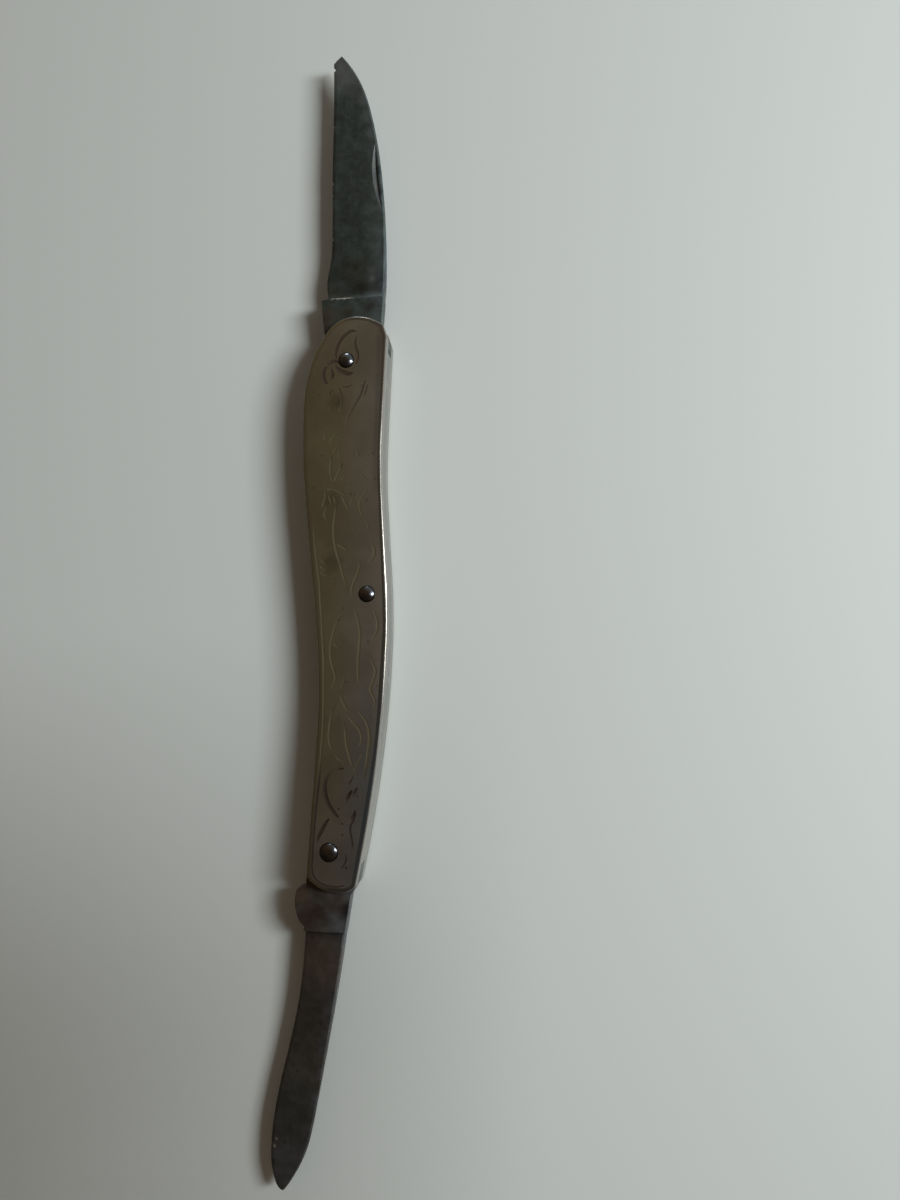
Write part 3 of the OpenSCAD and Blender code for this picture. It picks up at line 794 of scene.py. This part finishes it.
# %% Marks and steel of the main blade
main_z = 3.9
main_marks = [
    ((-3.0, 49.2, main_z), 1.2, "#3a2119", 0.6),
    ((-0.6, 54.0, main_z), 2.4, "#2e332f", 0.5),
    ((0.3, 46.0, main_z), 2.6, "#3b3b33", 0.6),
    ((2.4, 66.2, main_z), 1.6, "#6a7476", 0.5),
    ((1.7, 68.8, main_z), 1.6, "#6a7476", 0.5),
    ((0.9, 71.4, main_z), 1.7, "#6d7779", 0.5),
    ((4.4, 44.5, main_z), 3.4, "#40464a", 0.7),
    ((2.8, 40.8, main_z), 1.9, "#3a3c39", 0.7),
    ((3.5, 60.6, main_z), 1.2, "#33393d", 0.7),
    ((3.9, 57.6, main_z), 1.2, "#33393d", 0.7),
    # Painted highlight: the bright row on the line where the grinding stops.
    ((-3.3, 42.2, 3.8), 0.3, "#9f9b8f", 0.7),
    ((-2.6, 42.25, 3.8), 0.5, "#b9b6a9", 0.9),
    ((-1.8, 42.25, 3.8), 0.5, "#c3c0b4", 0.9),
    ((-1.0, 42.25, 3.8), 0.5, "#c3c0b4", 0.9),
    ((1.1, 43.7, main_z), 1.9, "#292722", 0.75),
    ((-2.8, 43.8, main_z), 1.4, "#4c4a42", 0.6),
    ((2.9, 44.9, main_z), 0.8, "#6f7470", 0.5),
    ((2.5, 46.4, main_z), 0.9, "#5d6362", 0.5),
    ((-3.2, 39.4, main_z), 2.6, "#4c463c", 0.8),
    ((-0.6, 40.2, main_z), 1.6, "#454138", 0.6),
]
main_steel = patinated_steel(
    "greenish_black_carbon_steel", "#3d4845", "#525f5f", (0.5, 4), "#7b8486", (70, 77),
    "#70777a", main_marks)
print("marks on the main blade:", len(main_marks))

# %% Marks and steel of the pen blade
pen_z = 2.7
pen_marks = [
    ((-4.0, -38.6, 3.9), 2.0, "#605041", 0.7),
    ((-2.4, -41.2, 3.9), 2.6, "#43332a", 0.7),
    ((1.0, -39.2, 3.9), 2.4, "#564d47", 0.8),
    ((2.6, -40.4, 3.9), 2.0, "#2c2b2b", 0.9),
    # Partly the steel's own brown, partly painted light where the card's shade falls.
    ((-0.8, -47.0, pen_z), 5.0, "#6c6055", 0.7),
    ((-3.0, -54.0, pen_z), 3.0, "#48433b", 0.5),
    ((-4.6, -66.0, pen_z), 6.0, "#434643", 0.7),
    # Painted reflection: bluish marks along the spine, for its rounded edge.
    ((0.1, -57.8, pen_z), 1.9, "#5d6066", 0.6),
    ((-0.5, -61.4, pen_z), 1.3, "#63666f", 0.6),
    ((-1.0, -65.0, pen_z), 1.2, "#63666f", 0.6),
    ((-1.5, -68.4, pen_z), 1.1, "#63666f", 0.6),
    ((-2.3, -71.6, pen_z), 1.1, "#63666f", 0.6),
    ((-6.3, -70.0, 2.45), 0.26, "#9c9e98", 0.9),
    ((-6.55, -70.9, 2.4), 0.34, "#a6a7a0", 0.9),
]
pen_steel = patinated_steel(
    "brown_black_carbon_steel", "#514e49", "#676b70", (-1.5, 2), "#595b5d", (-60, -74),
    "#6f6f6c", pen_marks)
print("marks on the pen blade:", len(pen_marks))

# %% [markdown]
# ## Two places where the main blade's steel is bare, one with a painted highlight
# The sloping floor of the nail nick is rubbed an even grey by the thumbnails that opened
# the blade. The narrow slope where the grinding stops, at the end of the tang, is bare
# and carries a painted highlight: white near the cutting edge, fading to dark across the
# blade.

# %% Steel of the nail nick and of the ground line
rubbed_steel, tree, shader, spot = start_finish("thumbnail_rubbed_steel")
fill(tree, shader, {
    "Base Color": lay(tree, "#636560", "#54585b", clouds(tree, spot, 2)),
    "Metallic": 0.8, "Roughness": 0.45})

ground_steel, tree, shader, spot = start_finish("ground_line_of_the_tang")
# Painted highlight: white near the cutting edge, dark toward the spine.
painted_highlight_fade = along(tree, spot, "X", -0.7, 0.5, "LINEAR")
fill(tree, shader, {
    "Base Color": lay(tree, "#c9c7be", "#41484a", painted_highlight_fade),
    "Metallic": 0.8, "Roughness": 0.4})
print("bare steels:", rubbed_steel.name, ground_steel.name)

# %% [markdown]
# ## A cutting edge that was used hard
# The main blade's edge has a few bites and many tiny nicks. One tree makes both. Its
# input is a line along the edge, drawn as a curve. A point with a radius is a bite of
# that radius, and the tree adds nicks of a seeded random size at even steps between. All
# of them are small balls, because a chip breaks out of hard steel as a shallow shell.

# %% Geometry Nodes: bites and nicks along a cutting edge
chips, given = new_tree("edge_chips", {
    "Spacing": "Float", "Smallest": "Float", "Largest": "Float", "Seed": "Int",
    "Material": "Material"})
smallest_bite = 0.01
jitter_low = (-0.03 * mm, -0.4 * mm, 0)
jitter_high = (0.08 * mm, 0.4 * mm, 0)

ball = add(chips, "GeometryNodeMeshIcoSphere", {"Radius": 1.0, "Subdivisions": 2}).outputs[0]
own_radius = add(chips, "GeometryNodeInputRadius").outputs[0]
is_bite = add(chips, "FunctionNodeCompare", {
    0: own_radius, 1: smallest_bite * mm}, operation="GREATER_THAN")
ends = add(chips, "GeometryNodeCurveToPoints", {"Curve": given["Geometry"]}, mode="EVALUATED")
bites = add(chips, "GeometryNodeInstanceOnPoints", {
    "Points": ends.outputs[0], "Selection": is_bite.outputs[0], "Instance": ball,
    "Scale": own_radius})
even = add(chips, "GeometryNodeCurveToPoints", {
    "Curve": given["Geometry"], "Length": given["Spacing"]}, mode="LENGTH")
jitter = add(chips, "FunctionNodeRandomValue", {
    0: jitter_low, 1: jitter_high, "Seed": given["Seed"]}, data_type="FLOAT_VECTOR")
loose = add(chips, "GeometryNodeSetPosition", {
    "Geometry": even.outputs[0], "Offset": jitter.outputs[0]})
size = add(chips, "FunctionNodeRandomValue", {
    2: given["Smallest"], 3: given["Largest"], "Seed": given["Seed"]}, data_type="FLOAT")
nicks = add(chips, "GeometryNodeInstanceOnPoints", {
    "Points": loose.outputs[0], "Instance": ball, "Scale": size.outputs[1]})
both = add(chips, "GeometryNodeJoinGeometry", {0: bites.outputs[0]})
chips.links.new(nicks.outputs[0], both.inputs[0])
end_tree(chips, both.outputs[0], given["Material"])
print("chip tree nodes:", len(chips.nodes))

# %% [markdown]
# ## The two blades
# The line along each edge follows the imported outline: the place, and the radius of the
# bite there, if there is one. The bites of the main blade are where the photographed
# edge has its notches. Each line lies at about the height of its edge, which runs near
# the middle of the steel.

# %% Lines along the cutting edges
def edge_line(name, z, points):
    """A straight-segment curve; each point is x, y and the radius of its bite, in mm."""
    curve = bpy.data.curves.new(name, "CURVE")
    curve.dimensions = "3D"
    line = curve.splines.new("POLY")
    line.points.add(len(points) - 1)
    for bead, (x, y, bite) in zip(line.points, points):
        bead.co = (x * mm, y * mm, z * mm, 1)
        bead.radius = bite * mm
    holder = bpy.data.objects.new(name, curve)
    scene.collection.objects.link(holder)
    return holder


main_edge_points = [
    (-3.5, 44.2, 0), (-3.2, 47.0, 0), (-3.05, 49.7, 0), (-3.15, 50.85, 0.3), (-3.1, 55.0, 0.14),
    (-3.2, 57.3, 0.16), (-3.4, 59.0, 0.36), (-3.25, 62.7, 0), (-3.4, 67.4, 0.2),
    (-3.5, 72.0, 0), (-3.68, 76.0, 0.28)]
pen_edge_points = [
    (-3.4, -44.0, 0), (-3.8, -50.0, 0), (-4.75, -56.6, 0.12), (-5.8, -61.3, 0),
    (-6.55, -65.7, 0), (-7.0, -70.6, 0.15), (-6.98, -72.2, 0)]
main_edge_z = 3.37
pen_edge_z = 2.3
print("points along the edges:", len(main_edge_points), len(pen_edge_points))

# %% [markdown]
# ## Faces with a metal of their own
# The nick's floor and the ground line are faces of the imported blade. They are found by
# which way they lean and by where they lie along the blade, so nothing has to be drawn
# again. After that the chips are cut out, in the blade's own steel.

# %% The two blades
nick_floor = {"metal": rubbed_steel, "lean": (0.5, 0, 0.866), "from": 54.5, "to": 65.5}
grinding_line = {"metal": ground_steel, "lean": (0, 0.29, 0.96), "from": 42.15, "to": 42.35}


def rub_faces(piece, zone, within=14):
    """Gives a zone's metal to its faces that lean its way, within an angle in degrees."""
    piece.data.materials.append(zone["metal"])
    for face in piece.data.polygons:
        leans = face.normal.angle(Vector(zone["lean"])) < math.radians(within)
        if leans and zone["from"] * mm < face.center.y < zone["to"] * mm:
            face.material_index = len(piece.data.materials) - 1


for node, steel, z, points, seed in (
        ("main_blade", main_steel, main_edge_z, main_edge_points, 5),
        ("pen_blade", pen_steel, pen_edge_z, pen_edge_points, 8)):
    blade = merged_copy(node, "patinated_" + node)
    blade.data.materials.append(steel)
    if node == "main_blade":
        rub_faces(blade, nick_floor)
        rub_faces(blade, grinding_line)
    chipped = run_tree(chips, edge_line(node + "_edge", z, points), {
        "Spacing": 0.9 * mm, "Smallest": 0.04 * mm, "Largest": 0.12 * mm, "Seed": seed,
        "Material": steel}, node + "_chips")
    join_flats(blade, 0.1)
    cut(blade, chipped)
    shade(blade)
    place(blade, node, node)

# %% [markdown]
# ## Peened pins
# Each pin is a steel wire, hammered over into a low dome. The hammer leaves small flats
# that flash in different directions. They are too shallow to change the dome's outline,
# so a bump is enough for them. Round the foot of the dome the finish is painted dark, a
# painted shade where the dome meets the cover.

# %% Pins
painted_shade_full_to = cover_top + 0.02
painted_shade_gone_by = cover_top + 0.2
hammer_flat = 0.6

peened, tree, shader, spot = start_finish("peened_steel_wire")
# Painted shade: dark at the foot of the dome, fading upward.
above_foot = along(tree, spot, "Z", painted_shade_full_to, painted_shade_gone_by, "LINEAR")
tint = lay(tree, "#2b2825", "#70767e", above_foot)
tint = lay(tree, tint, "#676b72", clouds(tree, spot, 0.7), 0.4)
flats = add(tree, "ShaderNodeTexVoronoi", {"Vector": spot, "Scale": 1 / (hammer_flat * mm)})
hammered = add(tree, "ShaderNodeBump", {
    "Height": flats.outputs["Distance"], "Strength": 0.2, "Distance": 0.1 * mm})
fill(tree, shader, {
    "Base Color": tint, "Normal": hammered.outputs[0], "Metallic": 1.0, "Roughness": 0.2})

for node in ("main_pivot_pin", "pen_pivot_pin", "spring_pin"):
    pin = merged_copy(node, "peened_" + node)
    pin.data.materials.append(peened)
    shade(pin, 60)
    place(pin, node, "handle")
